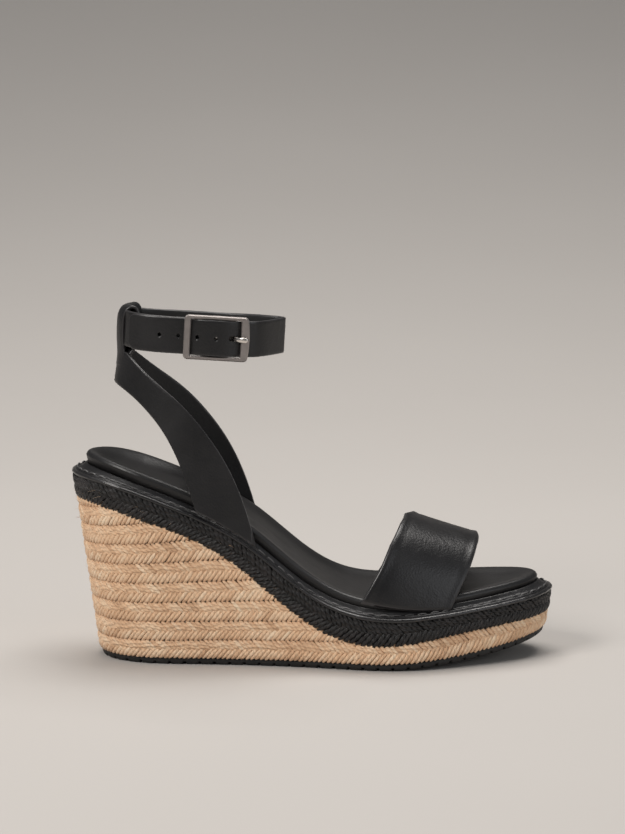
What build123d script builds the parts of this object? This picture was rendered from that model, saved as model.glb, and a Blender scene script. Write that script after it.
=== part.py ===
from build123d import *
from functools import lru_cache
import math
import os

# Ankle-strap wedge sandal for the right foot, EU 38, in millimetres.
# +X points to the toe, +Y to the inner side of the foot, +Z up, and the outsole rests on Z = 0.

CENTRING = (0.4, 1.5, 0)  # puts the middle of the whole shoe's plan at the origin

# ---- Plan of the sole: (x, y) round the outline from the back of the heel along the outer side ----
LOW_LEVEL = 0.0
HIGH_LEVEL = 100.0
LOW_OUTLINE = [
    (-109.5, 0), (-103, -16), (-88, -25), (-60, -28.5), (-30, -31), (5, -37), (42, -43), (75, -34),
    (98, -23), (112, -10.5), (117, 4), (112, 16.5), (98, 27), (75, 34), (42, 40), (5, 33),
    (-30, 27.5), (-60, 26), (-88, 24), (-103, 15),
]
HIGH_OUTLINE = [
    (-123, 0), (-115, -20), (-97, -32), (-62, -35.5), (-30, -37), (5, -41), (42, -47), (79, -37.5),
    (105, -25), (123, -11.5), (129, 5), (124, 19.5), (106, 30), (79, 37.5), (42, 44), (5, 37),
    (-30, 34), (-62, 33.5), (-97, 30.5), (-115, 19),
]
BLOCK_BOTTOM = -5.0
BLOCK_TOP = 130.0

# ---- Side profiles: (x, z) points of the long curves that divide the sole into layers ----
REAR_END = -132.0
TOE_END = 135.0
FLAT_END = 25.0          # the outsole is flat up to here, then rises to the toe
TOE_SPRING_RADIUS = 390.0
CREST = [
    (REAR_END, 94.5), (-112, 93.5), (-85, 86), (-55, 73.5), (-30, 58.5), (-8, 40.5),
    (10, 30.3), (32, 25.6), (60, 26.4), (90, 29.2), (TOE_END, 34.5),
]
BRAID_FOOT = [
    (REAR_END, 83.5), (-110, 82), (-87, 75.6), (-57, 63.8), (-37, 51), (-8, 27),
    (10, 17), (31, 13.2), (60, 16.5), (90, 20.4), (TOE_END, 24),
]
FOOTBED_TOP = [
    (REAR_END, 106), (-110, 105), (-85, 97.8), (-55, 85.3), (-30, 70.3), (-8, 52),
    (10, 40.6), (32, 35.2), (60, 36.2), (90, 39.2), (TOE_END, 44),
]

REACH = 90.0             # half the depth of a side-view cut, past both sides of the shoe

# ---- Layers of the sole ----
OUTSOLE_THICKNESS = 3.6
OUTSOLE_INSET = 0.8
BRAID_DEPTH = 4.0        # how deep the braids stand round the core
LAYER_GAP = 0.1
BRAID_GAP = 0.3
WELT_PROUD = 0.9
BLACK_BRAID_PROUD = 0.8
WELT_HEIGHT = 2.5
RAND_HEIGHT = 2.8
RAND_INSET = 0.8
BOARD_THICKNESS = 2.3
PAD_THICKNESS = 4.5
COVER_THICKNESS = 1.6
FOOTBED_INSET = BRAID_DEPTH + 0.3

# ---- Jute braid rows: straight courses that fan out slightly from the heel ----
ROW_COUNT = 9
ROW_BASE = 2.3
ROW_PITCH = 9.75
ROW_HEEL_X = -108.0
ROW_SLOPE = 0.02
ROW_SLOPE_GAIN = 0.0032
ROW_FRONT_X = 35.0

# ---- Stitches of the rand ----
STITCH_PITCH = 6.4
STITCH_LENGTH = 4.6
STITCH_RADIUS = 0.35
STITCH_LIFT = 0.08
STITCH_ROOM = 0.95
STITCH_INSET = 2.3

# ---- Vamp band across the toes: (x, y of centre, half width, base z, crown z) of its arch ----
VAMP_ARCHES = [
    (12, -2.0, 40.2, 22, 87.9), (38, -1.9, 41.9, 18, 77.2),
    (64, 0.2, 38.6, 18, 67.7), (92, 1.5, 30.0, 22, 59.2),
]
VAMP_REAR_EDGE = [(14, 20), (25.2, 38.9), (32.8, 52.2), (37.6, 62.5), (43, 70.9), (46.6, 74), (54, 95)]
VAMP_FRONT_EDGE = [(92, 80), (84.2, 61), (82.2, 58.1), (79, 51.3), (76.2, 45.6), (71.6, 37.1), (66, 25)]
ARCH_POWER = 2.4
VAMP_OUTER = 1.5
VAMP_LINING = 0.9

# ---- Sling quarter: a tapered heel wall of which a curved band is kept ----
WALL_LOW = 60.0
WALL_HIGH = 190.0
WALL_CENTRE = (-40.0, -0.8)
WALL_LENGTH_LOW = 74.0
WALL_WIDTH_LOW = 36.8
WALL_LENGTH_SLOPE = 0.155
WALL_WIDTH_SLOPE = 0.092
QUARTER_OUTER = 1.4
QUARTER_LINING = 0.9
NECK_TOP = 157.0
SLING_LOWER_EDGE = [(-103, 142), (-92, 136), (-82, 127), (-72, 113), (-64.5, 96), (-58, 76), (-52, 55)]
SLING_UPPER_EDGE = [(-94, NECK_TOP), (-82, 146), (-67, 133.5), (-52, 116.3), (-41, 98), (-33, 77), (-27, 55)]

# ---- Ankle strap, drawn level in its own frame: x forward from the heel, y inwards, z up ----
STRAP_ORIGIN = (-97.0, 0.0, 169.3)
STRAP_TILT = 3.3         # degrees, the strap falls towards the front
STRAP_WIDTH = 17.4
OUTER_LEATHER = 1.2
LINING_LEATHER = 1.1
MAIN_PATH = [
    (33, -24.3), (20, -23.3), (10, -18.6), (3.4, -10.5), (1.5, -1), (4.4, 8), (12, 13.4), (26, 16.2),
    (41, 16.2), (57, 12.6), (70, 5.2), (79.0, -0.25),
]
TONGUE_PATH = [
    (80.7, -4.0), (73.5, -17.0), (65.4, -25.4), (60.8, -26.9), (55, -28.9), (48, -29.5), (41, -28.8),
    (34, -27.2), (26.5, -27.1), (19.2, -26.3), (8.0, -21.2), (5.0, -18.3),
]
TONGUE_CREST_Y = -29.2
TIP_RADIUS = 5.0
HOLE_RADIUS = 0.9
HOLE_PITCH = 9.4
PRONG_HOLE_X = 57.8
HOLE_COUNT = 5

# ---- Heel loop that carries the strap ----
LOOP_HALF_WIDTH = 8.5
LOOP_LEATHER = 1.6
LOOP_ROOM = 1.3          # free space round the strap
LOOP_HEAD_ROOM = 1.6

# ---- Buckle, in the strap's frame ----
BUCKLE_X = (32.4, 65.0)
BUCKLE_HEIGHT = 22.2
LEFT_BAR = 3.2
RIGHT_BAR = 4.4
LONG_BAR = 1.9
BUCKLE_THICKNESS = 2.0
BUCKLE_INNER_Y = -28.8
BUCKLE_CORNER = 2.2
BUCKLE_EDGE = 0.45
RIGHT_BAR_BOW = 0.9
CENTRE_BAR = (48.0, -25.4)
CENTRE_BAR_RADIUS = 1.0
FOLD_ROOM = 0.1
FOLD_RETURN_X = 30.0
LUG_LENGTH = 3.4
PRONG_WIDTH = 2.6
PRONG_THICKNESS = 1.3
PRONG_EYE = 1.06         # running fit on the centre bar
PRONG_EYE_OUTER = 2.05
PRONG_REST = 0.3
PRONG_SLOT = 3.6


# ---------------------------------------------------------------- helpers
def save(shape, name):
    export_step(Pos(*CENTRING) * shape, f"parts/{name}.step")


def closed_spline(points):
    return make_face(Wire([Edge.make_spline([Vector(*p) for p in points], periodic=True)]))


def outline_points(level, inset):
    """Sole outline at a height, moved inwards by a distance."""
    share = (level - LOW_LEVEL) / (HIGH_LEVEL - LOW_LEVEL)
    points = [
        Vector(low[0] + (high[0] - low[0]) * share, low[1] + (high[1] - low[1]) * share, level)
        for low, high in zip(LOW_OUTLINE, HIGH_OUTLINE)
    ]
    moved = []
    for index, point in enumerate(points):
        chord = points[(index + 1) % len(points)] - points[index - 1]
        inward = Vector(-chord.Y, chord.X, 0).normalized()
        moved.append(point + inward * inset)
    return moved


@lru_cache
def block(inset):
    """The whole sole's tapered block, shrunk by an inset, from below the floor to above the footbed."""
    faces = [closed_spline(outline_points(level, inset)) for level in (BLOCK_BOTTOM, BLOCK_TOP)]
    return loft(faces, ruled=True)


def side_curve(points):
    return [Edge.make_spline([Vector(x, 0, z) for x, z in points])]


def ground_curve():
    """The outsole's underside: flat, then an arc of toe spring."""
    run = TOE_END - FLAT_END
    rise = TOE_SPRING_RADIUS - math.sqrt(TOE_SPRING_RADIUS**2 - run**2)
    flat = Edge.make_line((REAR_END, 0, 0), (FLAT_END, 0, 0))
    spring = Edge.make_tangent_arc((FLAT_END, 0, 0), (1, 0, 0), (TOE_END, 0, rise))
    return [flat, spring]


def level_curve(z):
    return [Edge.make_line((REAR_END, 0, z), (TOE_END, 0, z))]


def raised(edges, height):
    return [Pos(0, 0, height) * edge for edge in edges]


def through(face):
    """A side-view face carried right through the shoe along Y."""
    return extrude(face, amount=REACH, dir=(0, 1, 0), both=True)


def slab(lower, upper):
    """Everything between two side-view curves."""
    rear = Edge.make_line(lower[0] @ 0, upper[0] @ 0)
    front = Edge.make_line(lower[-1] @ 1, upper[-1] @ 1)
    return through(make_face([*lower, front, *upper, rear]))


def side_polygon(points):
    return through(make_face(Polyline([(x, 0, z) for x, z in points], close=True)))


def row_line(number, x):
    """Height of the joint above braid row `number`, counted up from the outsole."""
    slope = ROW_SLOPE + ROW_SLOPE_GAIN * (number - 1) ** 2
    return ROW_BASE + ROW_PITCH * number + slope * (x - ROW_HEEL_X)


# ---------------------------------------------------------------- sole
def make_outsole():
    return block(OUTSOLE_INSET) & slab(ground_curve(), raised(ground_curve(), OUTSOLE_THICKNESS))


def make_core():
    low = raised(ground_curve(), OUTSOLE_THICKNESS + LAYER_GAP)
    return block(BRAID_DEPTH + LAYER_GAP) & slab(low, side_curve(CREST))


def make_jute_rows():
    """Nine courses of braid, the lowest one running all the way round the toe."""
    ring = block(0) - block(BRAID_DEPTH)
    top = raised(side_curve(BRAID_FOOT), -BRAID_GAP / 2)
    ring &= slab(raised(ground_curve(), OUTSOLE_THICKNESS + LAYER_GAP), top)
    rows = {}
    for number in range(1, ROW_COUNT + 1):
        half_gap = BRAID_GAP / 2
        name = f"jute_braid_row_{ROW_COUNT + 1 - number}"
        if number == 1:
            cut = side_polygon([
                (REAR_END, row_line(1, REAR_END) - half_gap), (ROW_FRONT_X, row_line(1, ROW_FRONT_X) - half_gap),
                (ROW_FRONT_X, BLOCK_TOP), (REAR_END, BLOCK_TOP),
            ])
            rows[name] = ring - cut
            continue
        above = BLOCK_TOP if number == ROW_COUNT else row_line(number, REAR_END) - half_gap
        above_front = BLOCK_TOP if number == ROW_COUNT else row_line(number, ROW_FRONT_X) - half_gap
        rows[name] = ring & side_polygon([
            (REAR_END, row_line(number - 1, REAR_END) + half_gap),
            (ROW_FRONT_X, row_line(number - 1, ROW_FRONT_X) + half_gap),
            (ROW_FRONT_X, above_front), (REAR_END, above),
        ])
    return rows


def make_black_braid():
    return (block(-BLACK_BRAID_PROUD) - block(BRAID_DEPTH)) & slab(side_curve(BRAID_FOOT), side_curve(CREST))


def make_welt():
    low = raised(side_curve(CREST), LAYER_GAP)
    return (block(-WELT_PROUD) - block(FOOTBED_INSET - LAYER_GAP)) & slab(low, raised(low, WELT_HEIGHT))


def make_rand():
    low = raised(side_curve(CREST), 2 * LAYER_GAP + WELT_HEIGHT)
    ring = block(RAND_INSET) - block(FOOTBED_INSET - LAYER_GAP)
    return ring & slab(low, raised(low, RAND_HEIGHT))


def height_on(curve, x):
    """Height of a side-view curve at x, found by halving."""
    low = 0.0
    high = 1.0
    for _ in range(24):
        middle = (low + high) / 2
        if (curve @ middle).X < x:
            low = middle
        else:
            high = middle
    return (curve @ low).Z


def spot_on_rand(low_path, high_path, crest, share):
    """A point on the rand's top, a share of the way round the sole."""
    low = low_path @ share
    high = high_path @ share
    level = HIGH_LEVEL / 2
    for _ in range(6):
        along = (level - LOW_LEVEL) / (HIGH_LEVEL - LOW_LEVEL)
        spot = low + (high - low) * along
        level = height_on(crest, spot.X)
    rand_top = level + 3 * LAYER_GAP + WELT_HEIGHT + RAND_HEIGHT
    return Vector(spot.X, spot.Y, rand_top + STITCH_RADIUS + STITCH_LIFT)


def make_stitches():
    """Short thread bars lying on the rand, one every pitch round the sole."""
    low_path = Edge.make_spline(outline_points(LOW_LEVEL, STITCH_INSET), periodic=True)
    high_path = Edge.make_spline(outline_points(HIGH_LEVEL, STITCH_INSET), periodic=True)
    crest = side_curve(CREST)[0]
    count = round((low_path.length + high_path.length) / 2 / STITCH_PITCH)
    half = STITCH_LENGTH / STITCH_PITCH / count / 2
    stitches = []
    for index in range(count):
        middle = (index + 0.5) / count
        start = spot_on_rand(low_path, high_path, crest, middle - half)
        end = spot_on_rand(low_path, high_path, crest, middle + half)
        line = end - start
        plane = Plane(origin=start, z_dir=line)
        stitches.append(extrude(plane * Circle(STITCH_RADIUS), amount=line.length))
    return Compound(children=stitches)


def make_footbed():
    board_low = raised(side_curve(CREST), LAYER_GAP)
    board_high = raised(board_low, BOARD_THICKNESS)
    pad_low = raised(board_high, LAYER_GAP)
    pad_high = raised(pad_low, PAD_THICKNESS)
    board = block(FOOTBED_INSET) & slab(board_low, board_high)
    pad = block(FOOTBED_INSET + COVER_THICKNESS + LAYER_GAP) & slab(pad_low, pad_high)
    hollow = block(FOOTBED_INSET + COVER_THICKNESS) & slab(level_curve(0), raised(pad_high, LAYER_GAP))
    cover = (block(FOOTBED_INSET) & slab(pad_low, side_curve(FOOTBED_TOP))) - hollow
    return board, pad, cover


# ---------------------------------------------------------------- uppers
def arch_face(x, centre, half_width, base, crown):
    """One upright arch across the foot, square-shouldered like a foot."""
    points = []
    steps = 12
    for step in range(steps + 1):
        angle = math.pi * step / steps
        cosine = math.cos(angle)
        sine = math.sin(angle)
        across = math.copysign(abs(cosine) ** (2 / ARCH_POWER), cosine)
        up = max(sine, 0) ** (2 / ARCH_POWER)
        points.append(Vector(x, centre + half_width * across, base + (crown - base) * up))
    curve = Edge.make_spline(points)
    return make_face([curve, Edge.make_line(points[-1], points[0])])


@lru_cache
def arch_block(inset):
    faces = [
        arch_face(x, centre, half_width - inset, base, crown - inset)
        for x, centre, half_width, base, crown in VAMP_ARCHES
    ]
    return loft(faces)


def band_region(first_edge, second_edge):
    first = Edge.make_spline([Vector(x, 0, z) for x, z in first_edge])
    second = Edge.make_spline([Vector(x, 0, z) for x, z in second_edge])
    return through(make_face([
        first, Edge.make_line(first @ 1, second @ 0), second, Edge.make_line(second @ 1, first @ 0),
    ]))


def below_uppers():
    """The space of the sole up to the stitches on the rand, which the uppers stand over."""
    top = raised(side_curve(CREST), 3 * LAYER_GAP + WELT_HEIGHT + RAND_HEIGHT + STITCH_ROOM)
    return slab(level_curve(BLOCK_BOTTOM), top)


def footbed_room():
    """The footbed's own space with a small gap round it, which the vamp keeps out of."""
    top = raised(side_curve(FOOTBED_TOP), LAYER_GAP)
    return block(FOOTBED_INSET - LAYER_GAP) & slab(side_curve(CREST), top)


def make_vamp():
    region = band_region(VAMP_REAR_EDGE, VAMP_FRONT_EDGE)
    middle = arch_block(VAMP_OUTER)
    outer = (arch_block(0) - middle) & region
    lining = (arch_block(VAMP_OUTER + LAYER_GAP) - arch_block(VAMP_OUTER + VAMP_LINING)) & region
    sole = below_uppers()
    footbed = footbed_room()
    return outer - sole - footbed, lining - sole - footbed


@lru_cache
def wall(inset):
    """The tapered heel wall: an upright cone of elliptical plan."""
    faces = []
    for level in (WALL_LOW, WALL_HIGH):
        length = WALL_LENGTH_LOW - WALL_LENGTH_SLOPE * (level - WALL_LOW) - inset
        width = WALL_WIDTH_LOW - WALL_WIDTH_SLOPE * (level - WALL_LOW) - inset
        faces.append(Pos(*WALL_CENTRE, level) * Ellipse(length, width))
    return loft(faces, ruled=True)


def sling_region():
    lower = Edge.make_spline([Vector(x, 0, z) for x, z in SLING_LOWER_EDGE])
    upper = Edge.make_spline([Vector(x, 0, z) for x, z in reversed(SLING_UPPER_EDGE)])
    back = Polyline((SLING_UPPER_EDGE[0][0], 0, NECK_TOP), (-125, 0, NECK_TOP), (-125, 0, 142), (-103, 0, 142))
    return through(make_face([lower, Edge.make_line(lower @ 1, upper @ 0), upper, *back.edges()]))


def make_quarter():
    region = sling_region()
    outer = (wall(0) - wall(QUARTER_OUTER)) & region
    lining = (wall(QUARTER_OUTER + LAYER_GAP) - wall(QUARTER_OUTER + QUARTER_LINING)) & region
    sole = below_uppers()
    return outer - sole, lining - sole


# ---------------------------------------------------------------- ankle strap
def strap_frame():
    return Location(STRAP_ORIGIN, (0, STRAP_TILT, 0))


def shifted(points, distance):
    """A path's points moved sideways, to the left of its direction."""
    moved = []
    last = len(points) - 1
    for index, point in enumerate(points):
        before = points[max(index - 1, 0)]
        after = points[min(index + 1, last)]
        length = math.hypot(after[0] - before[0], after[1] - before[1])
        left = (-(after[1] - before[1]) / length, (after[0] - before[0]) / length)
        moved.append((point[0] + left[0] * distance, point[1] + left[1] * distance))
    return moved


def ribbon(path, near, far, height=STRAP_WIDTH):
    """A strap layer that stands on edge along a path, between two sideways offsets of it."""
    first = Edge.make_spline([Vector(x, y, 0) for x, y in shifted(path, near)])
    second = Edge.make_spline([Vector(x, y, 0) for x, y in shifted(path, far)])
    face = make_face([
        first, Edge.make_line(first @ 1, second @ 1), second, Edge.make_line(second @ 0, first @ 0),
    ])
    return Pos(0, 0, -height / 2) * extrude(face, amount=height, dir=(0, 0, 1))


def ring_sector(centre, inner, outer, height, keep):
    tube = Cylinder(outer, height) - Cylinder(inner, height)
    return (Pos(*centre, 0) * tube) & keep


def make_ankle_strap():
    """The strap from the buckle back round the heel to the front bend, outer leather and lining.

    The path runs from the buckle back along the outer side, so its left faces away from the foot.
    """
    total = OUTER_LEATHER + LINING_LEATHER + LAYER_GAP
    outer = ribbon(MAIN_PATH, total / 2 - OUTER_LEATHER, total / 2)
    lining = ribbon(MAIN_PATH, -total / 2, -total / 2 + LINING_LEATHER)
    fold_inner = CENTRE_BAR_RADIUS + FOLD_ROOM
    fold_outer = fold_inner + OUTER_LEATHER
    front_half = Pos(CENTRE_BAR[0] + 5, CENTRE_BAR[1], 0) * Box(10, 20, 40)
    fold = ring_sector(CENTRE_BAR, fold_inner, fold_outer, STRAP_WIDTH, front_half)
    middle = (fold_inner + fold_outer) / 2
    upper_path = [
        MAIN_PATH[0], (38, -25.2), (44, CENTRE_BAR[1] - middle + 0.2), (CENTRE_BAR[0], CENTRE_BAR[1] - middle),
    ]
    upper_path[0] = (MAIN_PATH[0][0], MAIN_PATH[0][1] - (total - OUTER_LEATHER) / 2)
    lower_path = [
        (FOLD_RETURN_X + 3.4, MAIN_PATH[0][1] + (total - LINING_LEATHER) / 2), (40, -23.6),
        (44, CENTRE_BAR[1] + middle - 0.1), (CENTRE_BAR[0], CENTRE_BAR[1] + middle),
    ]
    half = OUTER_LEATHER / 2
    wrap = fold + ribbon(upper_path, -half, half) + ribbon(lower_path, -half, half)
    slot = Pos(CENTRE_BAR[0] + 2, CENTRE_BAR[1], 0) * Box(11, 8, PRONG_SLOT)
    return outer, lining, wrap - slot


def tip_trim(path):
    """The waste outside the rounded corners of the tongue's tip."""
    tip_x = path[-1][0]
    corner = Box(TIP_RADIUS * 2, 30, STRAP_WIDTH * 2) - Pos(TIP_RADIUS, 0, 0) * (
        Box(TIP_RADIUS * 2, 31, STRAP_WIDTH - 2 * TIP_RADIUS)
    )
    for side in (-1, 1):
        rounding = Cylinder(TIP_RADIUS, 31, rotation=(90, 0, 0))
        corner -= Pos(TIP_RADIUS, 0, side * (STRAP_WIDTH / 2 - TIP_RADIUS)) * rounding
    keep = Pos(TIP_RADIUS * 1.5, 0, 0) * Box(TIP_RADIUS, 32, STRAP_WIDTH * 2.2)
    return Pos(tip_x - 1, path[-1][1], 0) * (corner - keep)


def make_tongue():
    total = OUTER_LEATHER + LINING_LEATHER + LAYER_GAP
    outer = ribbon(TONGUE_PATH, total / 2 - OUTER_LEATHER, total / 2)
    lining = ribbon(TONGUE_PATH, -total / 2, -total / 2 + LINING_LEATHER)
    waste = tip_trim(TONGUE_PATH)
    for index in range(HOLE_COUNT):
        x = PRONG_HOLE_X - index * HOLE_PITCH
        waste += Pos(x, TONGUE_CREST_Y, 0) * Cylinder(HOLE_RADIUS, 14, rotation=(90, 0, 0))
    waste += Pos(PRONG_HOLE_X - 0.6, TONGUE_CREST_Y, 0) * Box(6.4, 14, PRONG_WIDTH + 0.8)
    return outer - waste, lining - waste


def make_heel_loop():
    """A flat sleeve of leather that goes up from the neck, over the strap and down inside it."""
    total = OUTER_LEATHER + LINING_LEATHER + LAYER_GAP
    outer_gap = total / 2 + LOOP_ROOM
    heel = MAIN_PATH[1:8]
    head = STRAP_WIDTH + 2 * LOOP_HEAD_ROOM
    sleeve = ribbon(heel, -outer_gap - LOOP_LEATHER, outer_gap + LOOP_LEATHER, head + 2 * LOOP_LEATHER)
    sleeve -= ribbon(heel, -outer_gap, outer_gap, head)
    centre_y = WALL_CENTRE[1]
    keep = Pos(5, centre_y, 0) * Box(20, 2 * LOOP_HALF_WIDTH, 2 * STRAP_WIDTH)
    return sleeve & keep


# ---------------------------------------------------------------- buckle
def frame_face(x_low, x_high, height, bow, corner):
    """Upright outline of the buckle, its right side bowed outwards, its corners rounded."""
    half = height / 2
    outline = [
        Edge.make_line((x_high, 0, -half), (x_low, 0, -half)),
        Edge.make_line((x_low, 0, -half), (x_low, 0, half)),
        Edge.make_line((x_low, 0, half), (x_high, 0, half)),
        Edge.make_three_point_arc((x_high, 0, half), (x_high + bow, 0, 0), (x_high, 0, -half)),
    ]
    face = make_face(outline)
    return fillet(face.vertices(), corner)


def plate(face, thickness):
    """A face in the plane Y = 0 made into a plate centred on it."""
    return extrude(face, amount=thickness / 2, dir=(0, 1, 0), both=True)


def make_buckle_frame():
    """Rectangular frame with a centre bar, its right bar wide and slightly bowed."""
    x_low, x_high = BUCKLE_X
    body = plate(frame_face(x_low, x_high - RIGHT_BAR_BOW, BUCKLE_HEIGHT, RIGHT_BAR_BOW, BUCKLE_CORNER),
                 BUCKLE_THICKNESS)
    body -= plate(frame_face(x_low + LEFT_BAR, x_high - RIGHT_BAR, BUCKLE_HEIGHT - 2 * LONG_BAR, 0.1, 0.8),
                  2 * BUCKLE_THICKNESS)
    body = chamfer(body.faces().sort_by(Axis.Y)[0].edges(), BUCKLE_EDGE)
    body = Pos(0, BUCKLE_INNER_Y - BUCKLE_THICKNESS / 2, 0) * body
    bar = Pos(*CENTRE_BAR, 0) * Cylinder(CENTRE_BAR_RADIUS, BUCKLE_HEIGHT - LONG_BAR)
    lug_outer_y = BUCKLE_INNER_Y - BUCKLE_THICKNESS / 2
    lug_inner_y = CENTRE_BAR[1] + CENTRE_BAR_RADIUS
    for side in (-1, 1):
        lug = Box(LUG_LENGTH, lug_inner_y - lug_outer_y, LONG_BAR - BUCKLE_EDGE)
        height = side * (BUCKLE_HEIGHT - LONG_BAR - BUCKLE_EDGE) / 2
        body += Pos(CENTRE_BAR[0], (lug_outer_y + lug_inner_y) / 2, height) * lug
    return body + bar


def make_prong():
    """An eye round the centre bar and a tapered tongue that rests on the right bar."""
    eye = Cylinder(PRONG_EYE_OUTER, PRONG_WIDTH) - Cylinder(PRONG_EYE, PRONG_WIDTH)
    rest_y = BUCKLE_INNER_Y - BUCKLE_THICKNESS - PRONG_REST - PRONG_THICKNESS / 2
    shank = [
        (CENTRE_BAR[0] + 1.2, CENTRE_BAR[1] - 0.5), (53.5, -26.6), (57.3, -28.6), (60.2, rest_y + 0.5),
        (61.5, rest_y), (BUCKLE_X[1] - 1.2, rest_y),
    ]
    half = PRONG_THICKNESS / 2
    body = ribbon(shank, -half, half, PRONG_WIDTH)
    place = Pos(*CENTRE_BAR, 0)
    return place * eye + (body - place * Cylinder(PRONG_EYE_OUTER - 0.1, PRONG_WIDTH * 2))


# ---------------------------------------------------------------- build
def main():
    os.makedirs("parts", exist_ok=True)
    vamp_outer, vamp_lining = make_vamp()
    quarter_outer, quarter_lining = make_quarter()
    board, pad, cover = make_footbed()
    save(make_outsole(), "outsole")
    save(make_core(), "wedge_core")
    for name, row in make_jute_rows().items():
        save(row, name)
    save(make_black_braid(), "black_braid")
    save(make_welt(), "welt")
    save(make_rand(), "rand")
    save(make_stitches(), "rand_stitches")
    save(board, "insole_board")
    save(pad, "footbed_pad")
    save(cover, "footbed_cover")
    save(vamp_outer, "vamp_band")
    save(vamp_lining, "vamp_lining")
    save(quarter_outer, "sling_quarter")
    save(quarter_lining, "sling_lining")

    place = strap_frame()
    strap_outer, strap_lining, strap_fold = make_ankle_strap()
    tongue_outer, tongue_lining = make_tongue()
    save(place * make_heel_loop(), "heel_loop")
    save(place * strap_outer, "ankle_strap")
    save(place * strap_lining, "ankle_strap_lining")
    save(place * strap_fold, "buckle_fold")
    save(place * tongue_outer, "strap_tongue")
    save(place * tongue_lining, "strap_tongue_lining")
    save(place * make_buckle_frame(), "buckle_frame")
    save(place * make_prong(), "buckle_prong")


main()
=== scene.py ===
import math

import bmesh
import bpy
import numpy as np
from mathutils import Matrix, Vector


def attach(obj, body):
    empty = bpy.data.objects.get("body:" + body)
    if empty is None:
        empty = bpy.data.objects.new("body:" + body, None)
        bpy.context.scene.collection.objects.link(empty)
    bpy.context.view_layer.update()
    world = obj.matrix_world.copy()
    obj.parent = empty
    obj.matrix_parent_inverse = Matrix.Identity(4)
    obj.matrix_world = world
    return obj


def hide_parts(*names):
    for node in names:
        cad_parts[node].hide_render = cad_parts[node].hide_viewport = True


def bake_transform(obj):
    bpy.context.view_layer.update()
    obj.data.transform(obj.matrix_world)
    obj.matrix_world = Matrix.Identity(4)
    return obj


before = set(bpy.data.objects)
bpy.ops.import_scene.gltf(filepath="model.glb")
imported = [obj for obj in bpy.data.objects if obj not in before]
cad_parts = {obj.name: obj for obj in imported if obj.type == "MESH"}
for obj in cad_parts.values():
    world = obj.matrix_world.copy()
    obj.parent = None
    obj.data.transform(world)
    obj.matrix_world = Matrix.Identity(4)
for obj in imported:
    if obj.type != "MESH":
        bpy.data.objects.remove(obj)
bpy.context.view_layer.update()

MM = 0.001
SHIFT = np.array([0.4, 1.5, 0.0])  # the row frame's origin, in millimetres from the last's own zero
rng = np.random.RandomState(7)

# ---------------------------------------------------------------- driving shapes, in millimetres
LOW_OUTLINE = [
    (-109.5, 0), (-103, -16), (-88, -25), (-60, -28.5), (-30, -31), (5, -37), (42, -43), (75, -34),
    (98, -23), (112, -10.5), (117, 4), (112, 16.5), (98, 27), (75, 34), (42, 40), (5, 33),
    (-30, 27.5), (-60, 26), (-88, 24), (-103, 15),
]
HIGH_OUTLINE = [
    (-123, 0), (-115, -20), (-97, -32), (-62, -35.5), (-30, -37), (5, -41), (42, -47), (79, -37.5),
    (105, -25), (123, -11.5), (129, 5), (124, 19.5), (106, 30), (79, 37.5), (42, 44), (5, 37),
    (-30, 34), (-62, 33.5), (-97, 30.5), (-115, 19),
]
HIGH_LEVEL = 100.0
CREST = [
    (-132, 94.5), (-112, 93.5), (-85, 86), (-55, 73.5), (-30, 58.5), (-8, 40.5),
    (10, 30.3), (32, 25.6), (60, 26.4), (90, 29.2), (135, 34.5),
]
BRAID_FOOT = [
    (-132, 83.5), (-110, 82), (-87, 75.6), (-57, 63.8), (-37, 51), (-8, 27),
    (10, 17), (31, 13.2), (60, 16.5), (90, 20.4), (135, 24),
]
FOOTBED_TOP = [
    (-132, 106), (-110, 105), (-85, 97.8), (-55, 85.3), (-30, 70.3), (-8, 52),
    (10, 40.6), (32, 35.2), (60, 36.2), (90, 39.2), (135, 44),
]
FLAT_END = 25.0
TOE_SPRING_RADIUS = 390.0
OUTSOLE_THICKNESS = 3.6
ROW_COUNT = 9
ROW_BASE = 2.3
ROW_PITCH = 9.75
ROW_HEEL_X = -108.0
ROW_SLOPE = 0.02
ROW_SLOPE_GAIN = 0.0032
STITCH_PITCH = 6.4
RING = 720                         # samples round the sole
FINE_STEPS = 1200                  # samples along a path before it is spaced evenly
WALL_ROUNDS = 12                   # rounds that find where a curve crosses the wall


# ---------------------------------------------------------------- curves
def natural_second(knots, values):
    """Second derivatives of the natural cubic spline through the values."""
    count = len(knots)
    step = np.diff(knots)
    matrix = np.eye(count)
    right = np.zeros(values.shape)
    for i in range(1, count - 1):
        matrix[i, i - 1:i + 2] = (step[i - 1], 2 * (step[i - 1] + step[i]), step[i])
        right[i] = 6 * ((values[i + 1] - values[i]) / step[i] - (values[i] - values[i - 1]) / step[i - 1])
    return np.linalg.solve(matrix, right)


def spline_at(knots, values, places):
    """Natural cubic spline through values at knots, read at places; values may be vectors."""
    knots = np.asarray(knots, float)
    values = np.asarray(values, float)
    second = natural_second(knots, values)
    cell = np.clip(np.searchsorted(knots, places) - 1, 0, len(knots) - 2)
    width = knots[cell + 1] - knots[cell]
    b = (places - knots[cell]) / width
    a = 1 - b
    if values.ndim > 1:
        a, b, width = a[..., None], b[..., None], width[..., None]
    curve = a * values[cell] + b * values[cell + 1]
    return curve + ((a**3 - a) * second[cell] + (b**3 - b) * second[cell + 1]) * width**2 / 6


def profile(points):
    """A side-view curve as a function of x."""
    table = np.array(points, float)
    return lambda x: spline_at(table[:, 0], table[:, 1], x)


def run_along(path):
    """Distances along a path of points, from 0 at its first."""
    return np.concatenate([[0], np.cumsum(np.linalg.norm(np.diff(path, axis=0), axis=1))])


def unit(vectors):
    return vectors / np.linalg.norm(vectors, axis=-1, keepdims=True)


def around(count):
    """Angles of one turn, in count equal steps."""
    return np.arange(count) / count * 2 * np.pi


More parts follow.
